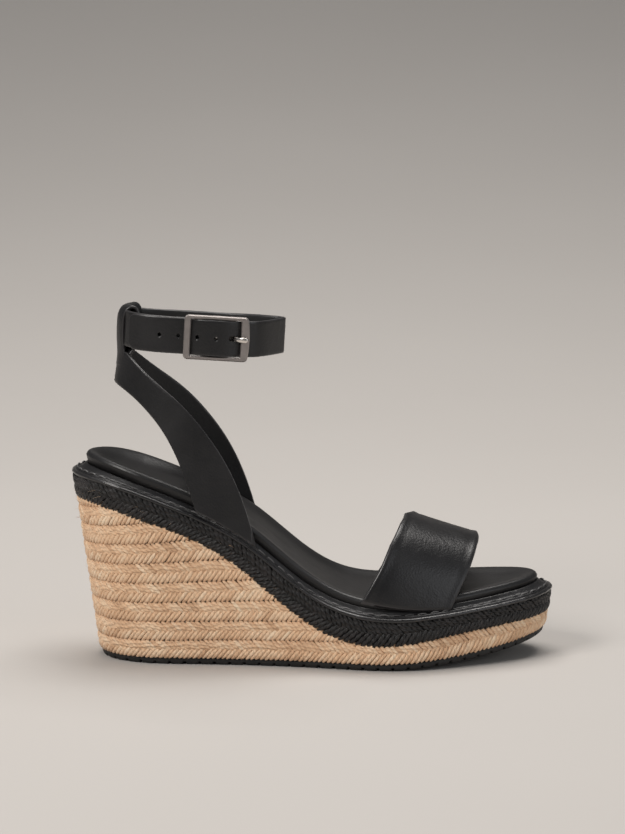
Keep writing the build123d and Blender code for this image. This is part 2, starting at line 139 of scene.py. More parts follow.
def bump_at(value, centre, spread):
    """A bell that is 1 at its centre."""
    return np.exp(-((value - centre) / spread) ** 2)


def smooth_path(points, count):
    """A path through the points, at count places evenly spaced along it."""
    table = np.array(points, float)
    chord = run_along(table)
    fine = spline_at(chord, table, np.linspace(0, chord[-1], FINE_STEPS))
    run = run_along(fine)
    places = np.linspace(0, run[-1], count)
    return np.stack([np.interp(places, run, fine[:, k]) for k in range(fine.shape[1])], axis=-1)


crest = profile(CREST)
braid_foot = profile(BRAID_FOOT)
footbed_top = profile(FOOTBED_TOP)


def ground(x):
    past = np.maximum(np.asarray(x, float) - FLAT_END, 0)
    return TOE_SPRING_RADIUS - np.sqrt(TOE_SPRING_RADIUS**2 - past**2)


def row_line(number, x):
    slope = ROW_SLOPE + ROW_SLOPE_GAIN * (number - 1) ** 2
    return ROW_BASE + ROW_PITCH * number + slope * (x - ROW_HEEL_X)


# ---------------------------------------------------------------- the sole's tapered wall
def closed_outlines():
    """The low and high outlines, sampled at the same shares of the way round."""
    low = np.array(LOW_OUTLINE, float)
    high = np.array(HIGH_OUTLINE, float)
    turns = 3
    both = np.concatenate([low, high], axis=1)
    both = np.concatenate([both] * turns + [both[:1]])
    middle = (both[:, :2] + both[:, 2:]) / 2
    chord = run_along(middle)
    length = chord[-1] / turns
    places = length + np.linspace(0, length, RING, endpoint=False)
    fine = spline_at(chord, both, places)
    return fine[:, :2], fine[:, 2:]


LOW_RING, HIGH_RING = closed_outlines()


def read_ring(ring, share):
    place = (np.asarray(share) % 1.0) * RING
    first = np.floor(place).astype(int) % RING
    part = (place - np.floor(place))[..., None]
    return ring[first] * (1 - part) + ring[(first + 1) % RING] * part


def wall_point(share, z, inset):
    """A point of the sole's wall and its outward normal: share of the way round, height, moved inwards."""
    level = (np.asarray(z) / HIGH_LEVEL)[..., None]

    def outline(place):
        return read_ring(LOW_RING, place) * (1 - level) + read_ring(HIGH_RING, place) * level

    step = 1.5 / RING
    along = unit(outline(share + step) - outline(share - step))
    outward = np.stack([along[..., 1], -along[..., 0]], axis=-1)
    flat = outline(share) - outward * np.asarray(inset)[..., None]
    point = np.concatenate([flat, np.broadcast_to(np.asarray(z)[..., None], flat.shape[:-1] + (1,))], axis=-1)
    return point, np.concatenate([outward, np.zeros(outward.shape[:-1] + (1,))], axis=-1)


def follow(share, height, inset):
    """Points of the wall where a side-view curve crosses it."""
    z = np.full(np.shape(share), 50.0)
    for _ in range(WALL_ROUNDS):
        point, _ = wall_point(share, z, inset)
        z = height(point[..., 0])
    return wall_point(share, z, inset)


# ---------------------------------------------------------------- meshes
STRAND_SIDES = 8


def piece(name, points, faces, materials, face_slots=None, uv=None, tone=None):
    """A smooth-shaded mesh object from points in the last's millimetres."""
    mesh = bpy.data.meshes.new(name)
    points = (np.asarray(points, float).reshape(-1, 3) + SHIFT) * MM
    mesh.from_pydata(points.tolist(), [], faces if isinstance(faces, list) else np.asarray(faces).tolist())
    for material in materials:
        mesh.materials.append(material)
    if face_slots is not None:
        mesh.polygons.foreach_set("material_index", np.asarray(face_slots, np.int32))
    corner = np.zeros(len(mesh.loops), np.int32)
    mesh.loops.foreach_get("vertex_index", corner)
    if uv is not None:
        layer = mesh.uv_layers.new(name="UVMap")
        layer.data.foreach_set("uv", np.asarray(uv, float).reshape(-1, 2)[corner].ravel())
    if tone is not None:
        colours = np.ones((len(points), 4))
        colours[:, :3] = np.asarray(tone, float).reshape(-1, 1)
        mesh.color_attributes.new("tone", "FLOAT_COLOR", "POINT").data.foreach_set("color", colours.ravel())
    mesh.polygons.foreach_set("use_smooth", np.ones(len(mesh.polygons), bool))
    mesh.update()
    thing = bpy.data.objects.new(name, mesh)
    bpy.context.scene.collection.objects.link(thing)
    return thing


def belongs(thing, node, body="sandal"):
    """Ties a piece to its body and to the CAD node that it stands for, whose part it hides."""
    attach(thing, body)
    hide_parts(node)


def grid_faces(rows, columns, close_rows=False, close_columns=False, start=0, flip=False):
    """Quads of a grid of points stored row by row."""
    i = np.arange(rows if close_rows else rows - 1)
    j = np.arange(columns if close_columns else columns - 1)
    i, j = np.meshgrid(i, j, indexing="ij")
    k, m = (i + 1) % rows, (j + 1) % columns
    quads = np.stack([i * columns + j, k * columns + j, k * columns + m, i * columns + m], axis=-1)
    quads = quads.reshape(-1, 4)
    if flip:
        quads = quads[:, ::-1]
    return quads + start


def copies(faces, count, size):
    """The same faces for each of count things that have size points each."""
    return (faces[None] + (np.arange(count) * size)[:, None, None]).reshape(-1, faces.shape[1])


def capped_tubes(count, rings):
    """Faces of count strands of STRAND_SIDES sides, closed at both ends."""
    cap = np.array([[0, 1, 2, 3], [0, 3, 4, 7], [4, 5, 6, 7]])
    body = grid_faces(rings, STRAND_SIDES, close_columns=True)
    one = np.concatenate([body, cap, (rings - 1) * STRAND_SIDES + cap[:, ::-1]])
    return copies(one, count, rings * STRAND_SIDES)


def side_and_up(centre, outward):
    """Directions along the wall and away from it, for strands laid on their centre lines."""
    tangent = unit(np.gradient(centre, axis=1))
    side = unit(np.cross(tangent, outward))
    return side, np.cross(side, tangent)


def swept_ring(height, section, wobble, spread=None):
    """Rings of points round the sole: one ring for each (inset, lift) of the section."""
    share = np.arange(RING) / RING
    rings = []
    for inset, lift in section:
        extra = wobble(share)
        point, _ = follow(share, lambda x: height(x) + lift, np.full(RING, inset) + extra)
        if spread is not None:
            point, _ = follow(share, lambda x: height(x) + lift, inset + extra + spread(inset, point[:, 0]))
        rings.append(point)
    return np.stack(rings, axis=1)


EDGE_PAINT_AND_HIGHLIGHT_BELOW = 0.9                # a sheet's share of its thickness where the edge paint begins, its lighter grey a painted highlight


def round_ends(places, length, half):
    """How thick a sheet with round edges is, from 0 to 1, at places across it."""
    near = np.minimum(places, length - places)
    inside = np.clip(near / half, 0, 1)
    return np.sqrt(np.clip(1 - (1 - inside) ** 2, 0, 1))


def edge_places(length, half, count):
    """Places across a sheet: close together at its two round edges."""
    near = half * np.array([0, 0.06, 0.22, 0.5, 1.0])
    middle = np.linspace(half, length - half, count)[1:-1]
    return np.concatenate([near, middle, (length - near)[::-1]])


def sheet_solid(name, middle, half, materials, swell=None):
    """Leather of thickness 2 * half on a grid of middle points (along, across), with round edges in edge paint
    that is lightened as a painted highlight.
    """
    middle = np.asarray(middle, float)
    rows, columns, _ = middle.shape
    along = np.gradient(middle, axis=0)
    across = np.gradient(middle, axis=1)
    normal = np.cross(along, across)
    normal /= np.maximum(np.linalg.norm(normal, axis=-1, keepdims=True), 1e-9)
    run = np.cumsum(np.linalg.norm(np.diff(middle, axis=1), axis=-1), axis=1)
    run = np.concatenate([np.zeros((rows, 1)), run], axis=1)
    thick = round_ends(run, run[:, -1:], half)
    length = np.cumsum(np.linalg.norm(np.diff(middle, axis=0), axis=-1), axis=0)
    length = np.concatenate([np.zeros((1, columns)), length], axis=0)
    thick = np.minimum(thick, round_ends(length, length[-1:], half))
    lift = normal * (thick * half)[..., None]
    extra = 0 if swell is None else normal * swell[..., None]
    points = np.concatenate([(middle + lift + extra).reshape(-1, 3), (middle - lift).reshape(-1, 3)])
    top = grid_faces(rows, columns)
    bottom = grid_faces(rows, columns, start=rows * columns, flip=True)
    faces = np.concatenate([top, bottom])
    flat_thick = np.concatenate([thick.reshape(-1)] * 2)
    # Faces at the rounded edges take the edge material: real edge paint, greyed lighter as a painted
    # highlight.
    slots = np.where(flat_thick[faces].min(axis=1) < EDGE_PAINT_AND_HIGHLIGHT_BELOW, 1, 0)
    uv = np.stack(np.broadcast_arrays(np.arange(rows)[:, None] / rows, run / 100), axis=-1).reshape(-1, 2)
    thing = piece(name, points, faces, materials, slots, uv=np.concatenate([uv, uv]))
    weld(thing)
    return thing


def weld(thing, distance=1e-6):
    """Joins points that lie on each other, so that the skin is closed."""
    mesh = bmesh.new()
    mesh.from_mesh(thing.data)
    bmesh.ops.remove_doubles(mesh, verts=mesh.verts, dist=distance)
    bmesh.ops.recalc_face_normals(mesh, faces=mesh.faces)
    mesh.to_mesh(thing.data)
    mesh.free()


# ---------------------------------------------------------------- materials
class Nodes:
    """A short hand for building a material's node tree."""

    def __init__(self, name):
        self.material = bpy.data.materials.new(name)
        self.material.use_nodes = True
        self.tree = self.material.node_tree
        self.shader = self.tree.nodes["Principled BSDF"]

    def add(self, kind, **settings):
        node = self.tree.nodes.new(kind)
        for key, value in settings.items():
            if key in node.inputs:
                node.inputs[key].default_value = value
            else:
                setattr(node, key, value)
        return node

    def link(self, output, target):
        self.tree.links.new(output, target)

    def ramp(self, source, stops):
        node = self.tree.nodes.new("ShaderNodeValToRGB")
        elements = node.color_ramp.elements
        while len(elements) < len(stops):
            elements.new(0.5)
        for element, (place, colour) in zip(elements, stops):
            element.position = place
            element.color = (*colour, 1)
        self.link(source, node.inputs["Fac"])
        return node

    def texture(self, kind, vector, **settings):
        """A texture node that is read at a vector."""
        node = self.add("ShaderNodeTex" + kind, **settings)
        self.link(vector, node.inputs["Vector"])
        return node

    def stretch(self, vector, scale):
        node = self.add("ShaderNodeMapping", Scale=scale)
        self.link(vector, node.inputs["Vector"])
        return node.outputs["Vector"]

    def weigh(self, value, factor, other):
        """value * factor + other."""
        node = self.add("ShaderNodeMath", operation="MULTIPLY_ADD")
        node.inputs[1].default_value = factor
        self.link(value, node.inputs[0])
        self.link(other, node.inputs[2])
        return node.outputs["Value"]

    def paint(self, channel, source, stops):
        """Drives a channel of the shader by a colour ramp."""
        self.link(self.ramp(source, stops).outputs["Color"], self.shader.inputs[channel])

    def fix(self, **channels):
        """Gives channels of the shader one value each; an underscore stands for a space."""
        for channel, value in channels.items():
            self.shader.inputs[channel.replace("_", " ")].default_value = value

    def finish(self, bump):
        self.link(bump.outputs["Normal"], self.shader.inputs["Normal"])
        return self.material

    def bump(self, height, strength, distance, before=None):
        node = self.add("ShaderNodeBump", Strength=strength, Distance=distance)
        self.link(height, node.inputs["Height"])
        if before is not None:
            self.link(before.outputs["Normal"], node.inputs["Normal"])
        return node


def grey(value):
    return (value, value, value)


def leather(name, dark, light, rough, grain=420.0, bump=0.25, coat=0.0, crease=0.3):
    """Dyed leather: fine pebbled grain, soft creases, uneven sheen."""
    n = Nodes(name)
    place = n.add("ShaderNodeNewGeometry").outputs["Position"]
    pebble = n.texture("Voronoi", place, feature="F1", Scale=grain * 2.2)
    cloud = n.texture("Noise", place, Scale=38.0, Detail=5.0, Roughness=0.6)
    fine = n.texture("Noise", place, Scale=grain * 4, Detail=3.0)
    folds = n.texture("Noise", place, Scale=90.0, Detail=3.0, Distortion=1.2)
    n.paint("Base Color", cloud.outputs["Fac"], [(0.3, dark), (0.7, light)])
    n.paint("Roughness", cloud.outputs["Fac"], [(0.25, grey(rough - 0.07)), (0.75, grey(rough + 0.08))])
    first = n.bump(folds.outputs["Fac"], crease, 0.0006)
    second = n.bump(pebble.outputs["Distance"], bump, 0.00025, first)
    n.fix(Coat_Weight=coat, Coat_Roughness=0.25, Specular_IOR_Level=0.5)
    return n.finish(n.bump(fine.outputs["Fac"], bump * 0.6, 0.0001, second))


def jute(name, deep, base, pale, rough, fibre_bump, coat=0.0, ply=0.0):
    """Plied plant fibre: streaks along each strand, a tone of its own for each strand, which the braids darken
    at the strand ends as painted shade.
    """
    n = Nodes(name)
    uv = n.add("ShaderNodeUVMap", uv_map="UVMap").outputs["UV"]
    streak = n.texture("Noise", n.stretch(uv, (2.2, 34.0, 1.0)), Scale=1.0, Detail=6.0, Roughness=0.7)
    tone = n.add("ShaderNodeAttribute", attribute_name="tone")
    place = n.add("ShaderNodeNewGeometry").outputs["Position"]
    patch = n.texture("Noise", place, Scale=55.0, Detail=3.0)
    mix = n.weigh(streak.outputs["Fac"], 0.55, tone.outputs["Fac"])
    mix = n.weigh(patch.outputs["Fac"], 0.25, mix)
    n.paint("Base Color", mix, [(0.28, deep), (0.68, base), (1.0, pale)])
    n.fix(Roughness=rough, Coat_Weight=coat, Coat_Roughness=0.35)
    if not coat:
        n.fix(Sheen_Weight=0.12)
    bump = n.bump(streak.outputs["Fac"], fibre_bump, 0.0004)
    if ply:
        turns = n.stretch(uv, (1.9, 1.6, 1.0))
        twist = n.texture("Wave", turns, wave_type="BANDS", bands_direction="DIAGONAL", Scale=1.0,
                          Distortion=0.6)
        bump = n.bump(twist.outputs["Fac"], ply, 0.0005, bump)
    return n.finish(bump)


def metal(name, colour, rough, brush):
    """Plated steel with fine brush lines and faint scuffs."""
    n = Nodes(name)
    place = n.add("ShaderNodeNewGeometry").outputs["Position"]
    lines = n.texture("Noise", n.stretch(place, (160.0, 160.0, 3800.0)), Scale=1.0, Detail=4.0)
    scuff = n.texture("Noise", place, Scale=260.0, Detail=5.0)
    worn = tuple(c * 0.86 for c in colour)
    n.paint("Base Color", scuff.outputs["Fac"], [(0.3, worn), (0.7, colour)])
    n.paint("Roughness", lines.outputs["Fac"], [(0.3, grey(rough - 0.06)), (0.7, grey(rough + 0.08))])
    n.fix(Metallic=1.0)
    return n.finish(n.bump(lines.outputs["Fac"], brush, 0.00004))


def rubber(name, dark, light):
    """Matt moulded rubber with dust in its grain."""
    n = Nodes(name)
    place = n.add("ShaderNodeNewGeometry").outputs["Position"]
    grain = n.texture("Noise", place, Scale=900.0, Detail=4.0)
    dust = n.texture("Noise", place, Scale=60.0, Detail=5.0)
    n.paint("Base Color", dust.outputs["Fac"], [(0.35, dark), (0.8, light)])
    n.paint("Roughness", grain.outputs["Fac"], [(0.3, grey(0.5)), (0.7, grey(0.68))])
    return n.finish(n.bump(grain.outputs["Fac"], 0.3, 0.0001))


def plain_fibre(name, dark, light):
    """Board, cork and foam that hardly show: mottled and matt."""
    n = Nodes(name)
    place = n.add("ShaderNodeNewGeometry").outputs["Position"]
    mottle = n.texture("Noise", place, Scale=320.0, Detail=6.0)
    n.paint("Base Color", mottle.outputs["Fac"], [(0.35, dark), (0.65, light)])
    n.fix(Roughness=0.9)
    return n.finish(n.bump(mottle.outputs["Fac"], 0.4, 0.0003))


UPPER = leather("black_leather", (0.0035, 0.0033, 0.0038), (0.0075, 0.007, 0.0078), 0.38)
# Edge paint is a real finish; its grey, lighter than the leather, is a painted highlight along the edges.
EDGE_PAINT_AND_HIGHLIGHT = leather("edge_paint_and_highlight", (0.020, 0.019, 0.020), (0.034, 0.032, 0.033), 0.30, bump=0.03, crease=0.05)
LINING = leather("black_lining", (0.005, 0.005, 0.005), (0.010, 0.0095, 0.010), 0.55, grain=300)
FOOTBED = leather("footbed_leather", (0.0035, 0.0033, 0.0035), (0.0075, 0.007, 0.0075), 0.42, bump=0.18,
                  crease=0.15)
WELT = leather("welt_leather", (0.006, 0.0055, 0.006), (0.011, 0.010, 0.0105), 0.27, bump=0.35, coat=0.3)
THREAD = jute("waxed_thread", (0.010, 0.010, 0.0105), (0.030, 0.029, 0.030), (0.09, 0.087, 0.087), 0.34, 0.4,
              coat=0.35)
JUTE = jute("natural_jute", (0.34, 0.165, 0.075), (0.80, 0.525, 0.325), (0.95, 0.76, 0.55), 0.8, 0.6, ply=0.7)
JUTE_SHADE = jute("jute_shade", (0.09, 0.045, 0.018), (0.19, 0.10, 0.045), (0.28, 0.16, 0.08), 0.9, 0.4)
BLACK_JUTE = jute("black_jute", (0.0015, 0.001, 0.001), (0.0035, 0.0028, 0.0028), (0.018, 0.014, 0.014), 0.46,
                  0.8, coat=0.06, ply=0.8)
FOAM = plain_fibre("latex_foam", (0.45, 0.43, 0.38), (0.55, 0.52, 0.47))
RUBBER = rubber("black_rubber", (0.006, 0.006, 0.006), (0.014, 0.013, 0.013))
GUNMETAL = metal("satin_nickel", (0.40, 0.365, 0.35), 0.36, 0.25)
POLISHED = metal("polished_nickel", (0.80, 0.75, 0.70), 0.16, 0.1)


# ---------------------------------------------------------------- braids
def band_map(low, high, inset):
    """How a braid lies on the wall: its middle line round the sole, by distance."""
    share = np.arange(RING * 2 + 1) / (RING * 2)
    point, _ = follow(share, lambda x: (low(x) + high(x)) / 2, np.full(share.shape, inset))
    run = run_along(point)
    rise = np.gradient(point[:, 2], run)
    return {"low": low, "high": high, "share": share, "run": run, "rise": rise, "x": point[:, 0]}


def on_band(band, distance, across, inset):
    """Point and outward normal at a distance along a braid, across it from -1 to 1, and sunk by an inset."""
    length = band["run"][-1]
    along = distance % length
    x = np.interp(along, band["run"], band["x"])
    tall = band["high"](x) - band["low"](x)
    rise = np.interp(along, band["run"], band["rise"])
    along = (along - across * tall / 2 * rise) % length
    share = np.interp(along, band["run"], band["share"])
    part = (across + 1) / 2
    return follow(share, lambda u: band["low"](u) * (1 - part) + band["high"](u) * part, inset)


STRAND_RINGS = 9
TUCK_DEPTH = 2.4


def tuck(point):
    """How far a point of the natural braids dives in behind the black braid that covers it."""
    return TUCK_DEPTH * np.clip((point[..., 2] - braid_foot(point[..., 0]) - 0.2) / 0.9, 0, 1)


def strands(band, pitch, starts, lean, wide, thick, sunk, jitter, tucked):
    """All the strands of one herringbone braid, both halves, as points, faces, uv and tone."""
    step = np.linspace(0, 1, STRAND_RINGS)
    points, uvs, tones = [], [], []
    for half in (1, -1):
        offset = 0.0 if half > 0 else pitch / 2
        base = starts + offset + rng.uniform(-jitter, jitter, starts.shape) * pitch
        across = half * (1.02 - 1.2 * step)[None, :] + rng.uniform(-0.03, 0.03, (len(base), 1))
        distance = base[:, None] + lean * (step ** 0.92)[None, :]
        arch = np.sin(np.pi * np.clip(step * 0.94 + 0.06, 0, 1)) ** 0.6
        swell = thick * (arch * 1.15 - 0.75)[None, :] * (1 + rng.uniform(-0.12, 0.12, (len(base), 1)))
        centre, outward = on_band(band, distance, across, sunk - swell)
        if tucked:
            centre = centre - outward * tuck(centre)[..., None]
        side, up = side_and_up(centre, outward)
        width = wide * (0.62 + 0.38 * np.sin(np.pi * step) ** 0.5)[None, :]
        width = width * (1 + rng.uniform(-0.13, 0.13, (len(base), 1)))
        angle = around(STRAND_SIDES)
        ring = (centre[:, :, None] + side[:, :, None] * (width[..., None] * np.cos(angle))[..., None]
                + up[:, :, None] * (thick * np.sin(angle))[None, None, :, None])
        points.append(ring.reshape(-1, 3))
        uv = np.empty(ring.shape[:3] + (2,))
        uv[..., 0] = step[None, :, None] + rng.uniform(0, 50, (len(base), 1, 1))
        uv[..., 1] = (np.abs(angle / np.pi - 1))[None, None, :] * 0.5 + rng.uniform(0, 50, (len(base), 1, 1))
        uvs.append(uv.reshape(-1, 2))
        # Painted shade: the tone falls towards each strand's ends, where it dips under its neighbours.
        ends = 0.5 * (1 - np.sin(np.pi * np.clip(step, 0.04, 0.96)) ** 0.5)
        tone = rng.normal(0.34, 0.07, (len(base), 1, 1)) - ends[None, :, None] * 0.34
        tones.append(np.broadcast_to(tone, ring.shape[:3]).reshape(-1))
    faces = capped_tubes(2 * len(starts), STRAND_RINGS)
    return np.concatenate(points), faces, np.concatenate(uvs), np.concatenate(tones)


GROUND_DEPTH = 0.55


def backing(band, along, inset, tucked):
    """The braid's shaded ground, seen between its strands."""
    across = np.linspace(-0.99, 0.99, 8)
    distance, across = np.meshgrid(along, across, indexing="ij")
    point, outward = on_band(band, distance, across, np.full(distance.shape, inset))
    return point - outward * tuck(point)[..., None] if tucked else point


def braid(name, node, low, high, materials, slot, pitch, lean, wide, thick, sunk, jitter, ends=None):
    """A flat herringbone braid round the sole; ends is the x where it runs in under the braid above it."""
    band = band_map(low, high, sunk)
    length = band["run"][-1]
    count = int(round(length / pitch))
    pitch = length / count
    starts = np.arange(count) * pitch
    along = np.linspace(0, length, count + 1)
    if ends is not None:
        starts = starts[np.interp(starts, band["run"], band["x"]) < ends]
    tucked = node != "black_braid"
    points, faces, uv, tone = strands(band, pitch, starts, lean, wide, thick, sunk, jitter, tucked)
    if ends is not None:
        inside = np.interp(along, band["run"], band["x"]) < ends
        leading = inside.cumprod() > 0
        along = np.concatenate([along[~leading & inside] - length, along[leading]])
    ground_points = backing(band, along, sunk + GROUND_DEPTH, tucked)
    rows, columns, _ = ground_points.shape
    start = len(points)
    ground_faces = grid_faces(rows, columns, start=start)
    points = np.concatenate([points, ground_points.reshape(-1, 3)])
    slots = np.concatenate([np.zeros(len(faces), int), np.ones(len(ground_faces), int)])
    more = rows * columns
    uv = np.concatenate([uv, np.stack([np.arange(more) * 0.37, np.arange(more) * 0.11], axis=-1)])
    tone = np.concatenate([tone, np.full(more, 0.3)])
    thing = piece(name, points, np.concatenate([faces, ground_faces]), materials, slots, uv, tone)
    belongs(thing, node)
    return band


FIBRE_RADIUS = 0.07
FIBRE_FLOOR = 0.4                  # the lowest height of a stray fibre, so that none sinks into the ground


def loose_fibres(name, bands, count, longest, material):
    """Stray ends of fibre that stand off the braids."""
    rings, sides = 6, 3
    points, tones = [], []
    for _ in range(count):
        band = bands[rng.randint(len(bands))]
        distance = rng.choice(band["shown"])
        across = rng.uniform(-0.9, 0.9)
        root, outward = on_band(band, np.array([distance]), np.array([across]), np.array([-0.2]))
        root, outward = root[0], outward[0]
        along = np.cross([0, 0, 1], outward)
        heading = along * rng.choice([-1, 1]) + outward * rng.uniform(0.25, 0.7)
        heading = heading + np.array([0, 0, rng.uniform(-0.8, 0.8)])
        heading /= np.linalg.norm(heading)
        curl = np.cross(heading, rng.normal(0, 1, 3))
        curl = curl / np.linalg.norm(curl) * rng.uniform(0.1, 0.55)
        length = rng.uniform(0.3, 1.0) * longest
        step = np.linspace(0, 1, rings)[:, None]
        middle = root + heading * step * length + curl * step**2 * length
        middle[:, 2] = np.maximum(middle[:, 2], FIBRE_FLOOR)
        side = np.cross(heading, [0.3, 0.5, 0.8])
        side /= np.linalg.norm(side)
        other = np.cross(heading, side)
        radius = FIBRE_RADIUS * (1 - 0.7 * step)
        for angle in (0, 2.1, 4.2):
            points.append(middle + (side * math.cos(angle) + other * math.sin(angle)) * radius)
        tones.append(np.full(rings * sides, rng.normal(0.42, 0.1)))
    points = np.array(points).reshape(count, sides, rings, 3).transpose(0, 2, 1, 3).reshape(-1, 3)
    faces = copies(grid_faces(rings, sides, close_columns=True), count, rings * sides)
    uv = rng.uniform(0, 20, (len(points), 2))
    thing = piece(name, points, faces, [material], None, uv, np.concatenate(tones))
    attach(thing, "sandal")


NATURAL_LAY = {"pitch": 2.45, "lean": 5.6, "wide": 1.12, "thick": 0.95, "sunk": 0.75, "jitter": 0.06}
BLACK_LAY = {"pitch": 2.65, "lean": 6.2, "wide": 1.25, "thick": 1.0, "sunk": 0.25, "jitter": 0.1}
TURN_X = 20                        # where the lowest row begins to follow the black braid's foot
PAST_TOE = 200


def make_braids():
    gap = 0.25
    bands = []
    outsole_top = lambda x: ground(x) + OUTSOLE_THICKNESS + gap
    for number in range(1, ROW_COUNT + 1):
        name = f"jute_braid_row_{ROW_COUNT + 1 - number}"
        if number == 1:
            low = outsole_top
            flat = row_line(1, float(TURN_X))
            high = lambda x: np.where(x < TURN_X, row_line(1, x), np.maximum(flat, braid_foot(x) + 0.8)) - gap
            ends = None
        else:
            low = lambda x, k=number: row_line(k - 1, x) + gap
            high = lambda x, k=number: row_line(k, x) - gap
            xs = np.linspace(-118, 40, 400)
            ends = float(xs[np.argmax(braid_foot(xs) < row_line(number - 1, xs) - 0.5)])
        band = braid(f"{name}_strands", name, low, high, [JUTE, JUTE_SHADE], "natural_jute", ends=ends,
                     **NATURAL_LAY)
        band["shown"] = band["run"][band["x"] < (PAST_TOE if ends is None else ends)]
        bands.append(band)
    loose_fibres("jute_loose_fibres", bands, 330, 5.0, JUTE)
    band = braid("black_braid_strands", "black_braid", lambda x: braid_foot(x) - 0.1, lambda x: crest(x) + 0.2,
                 [BLACK_JUTE, BLACK_JUTE], "black_jute", **BLACK_LAY)
    band["shown"] = band["run"]
    loose_fibres("black_loose_fibres", [band], 120, 3.0, BLACK_JUTE)


# ---------------------------------------------------------------- sole pieces
def arc_section(centre, radii, start, end, count):
    """Section points on an ellipse: (inset, lift) from one angle to another, in degrees."""
    angles = np.radians(np.linspace(start, end, count))
    return [(centre[0] - radii[0] * math.cos(a), centre[1] + radii[1] * math.sin(a)) for a in angles]


def ring_piece(name, node, section, material, wobble, spread=None):
    """A piece of black leather that runs round the sole at the crest line."""
    points = swept_ring(crest, section, wobble, spread)
    faces = grid_faces(RING, len(section), close_rows=True, close_columns=True)
    run = np.arange(RING)[:, None] / RING * 60
    across = np.arange(len(section))[None, :] / len(section)
    uv = np.stack(np.broadcast_arrays(run, across), axis=-1)
    thing = piece(name, points, faces, [material], None, uv)
    weld(thing)
    belongs(thing, node)


def uneven(share):
    """The small unevenness of hand-lasted leather."""
    turn = share * 2 * np.pi
    return 0.10 * np.sin(turn * 23 + 1) + 0.07 * np.sin(turn * 61 + 2) + 0.05 * np.sin(turn * 97)


def set_back(x):
    """How much further in the footbed's edge lies round the heel and the toe."""
    return 2.6 * np.clip((x - 80) / 35, 0, 1) + 2.8 * np.clip((-88 - x) / 26, 0, 1)


def make_welt():
    section = arc_section((0.75, 1.0), (1.75, 1.3), -100, 100, 15) + [(3.6, 2.0), (3.6, 0.1)]
    ring_piece("welt_roll", "welt", section, WELT, uneven)


def make_rand():
    """A strip that slopes up from the welt to the footbed: a groove for the stitches and a rolled top."""
    section = [
        (1.3, 1.6), (1.05, 2.1), (1.2, 2.55), (1.6, 2.9), (2.1, 3.2), (2.35, 3.18), (2.7, 3.3), (3.2, 3.9),
        (3.7, 4.6), (4.1, 5.2), (4.4, 5.55), (4.75, 5.65), (5.0, 5.4), (5.1, 4.9), (5.15, 3.9), (5.15, 1.6),
    ]
    spread = lambda inset, x: set_back(x) * np.clip((inset - 1.3) / 3.7, 0, 1)
    ring_piece("rand_strip", "rand", section, UPPER, lambda s: 0.5 * uneven(s + 0.31), spread)


STITCH_RISE = 3.3
STITCH_INSET = 2.3
STITCH_RADIUS = 0.45
STITCH_RINGS = 10


def make_stitches():
    """Waxed thread that dips into the rand at both ends of each stitch."""
    share = np.arange(RING * 2 + 1) / (RING * 2)
    path, _ = follow(share, lambda x: crest(x) + STITCH_RISE, np.full(share.shape, STITCH_INSET))
    run = run_along(path)
    count = int(round(run[-1] / STITCH_PITCH))
    pitch = run[-1] / count
    step = np.linspace(0, 1, STITCH_RINGS)
    lengths = pitch * rng.uniform(0.66, 0.76, (count, 1))
    along = (np.arange(count)[:, None] + rng.uniform(0.1, 0.2, (count, 1))) * pitch + lengths * step[None, :]
    places = np.interp(along % run[-1], run, share)
    lift = -0.45 + 0.65 * np.sin(np.pi * step) ** 0.45
    inset = np.full(places.shape, STITCH_INSET)
    centre, outward = follow(places, lambda x: crest(x) + STITCH_RISE + lift[None, :], inset)
    side, up = side_and_up(centre, outward)
    angle = around(STRAND_SIDES)
    radius = STITCH_RADIUS * (0.72 + 0.28 * np.sin(np.pi * step))[None, :, None, None]
    ring = (centre[:, :, None] + side[:, :, None] * np.cos(angle)[None, None, :, None] * radius
            + up[:, :, None] * np.sin(angle)[None, None, :, None] * radius)
    faces = capped_tubes(count, STITCH_RINGS)
    uv = np.empty(ring.shape[:3] + (2,))
    uv[..., 0] = step[None, :, None]
    uv[..., 1] = (angle / 6.3)[None, None, :] + rng.uniform(0, 9, (count, 1, 1))
    tone = np.broadcast_to(rng.normal(0.45, 0.12, (count, 1, 1)), ring.shape[:3]).reshape(-1)
    thing = piece("rand_stitching", ring, faces, [THREAD], None, uv.reshape(-1, 2), tone)
    belongs(thing, "rand_stitches")


SPINE_REAR = -88.0
SPINE_FRONT = 84.0
WIDE_WELD = 2e-5                   # metres, for faces that meet on the sole's middle line


def to_spine(edge, part):
    """Points from an outline (part 0) to the sole's middle line (part 1)."""
    x = np.clip(edge[..., 0], SPINE_REAR, SPINE_FRONT)
    x = x + (edge[..., 0] - x) * 0.12
    spine = np.stack([x, np.full(x.shape, 0.5) + 0.012 * x], axis=-1)
    flat = edge[..., :2] * (1 - part) + spine * part
    reach = np.linalg.norm(edge[..., :2] - spine, axis=-1) * part
    return flat, reach


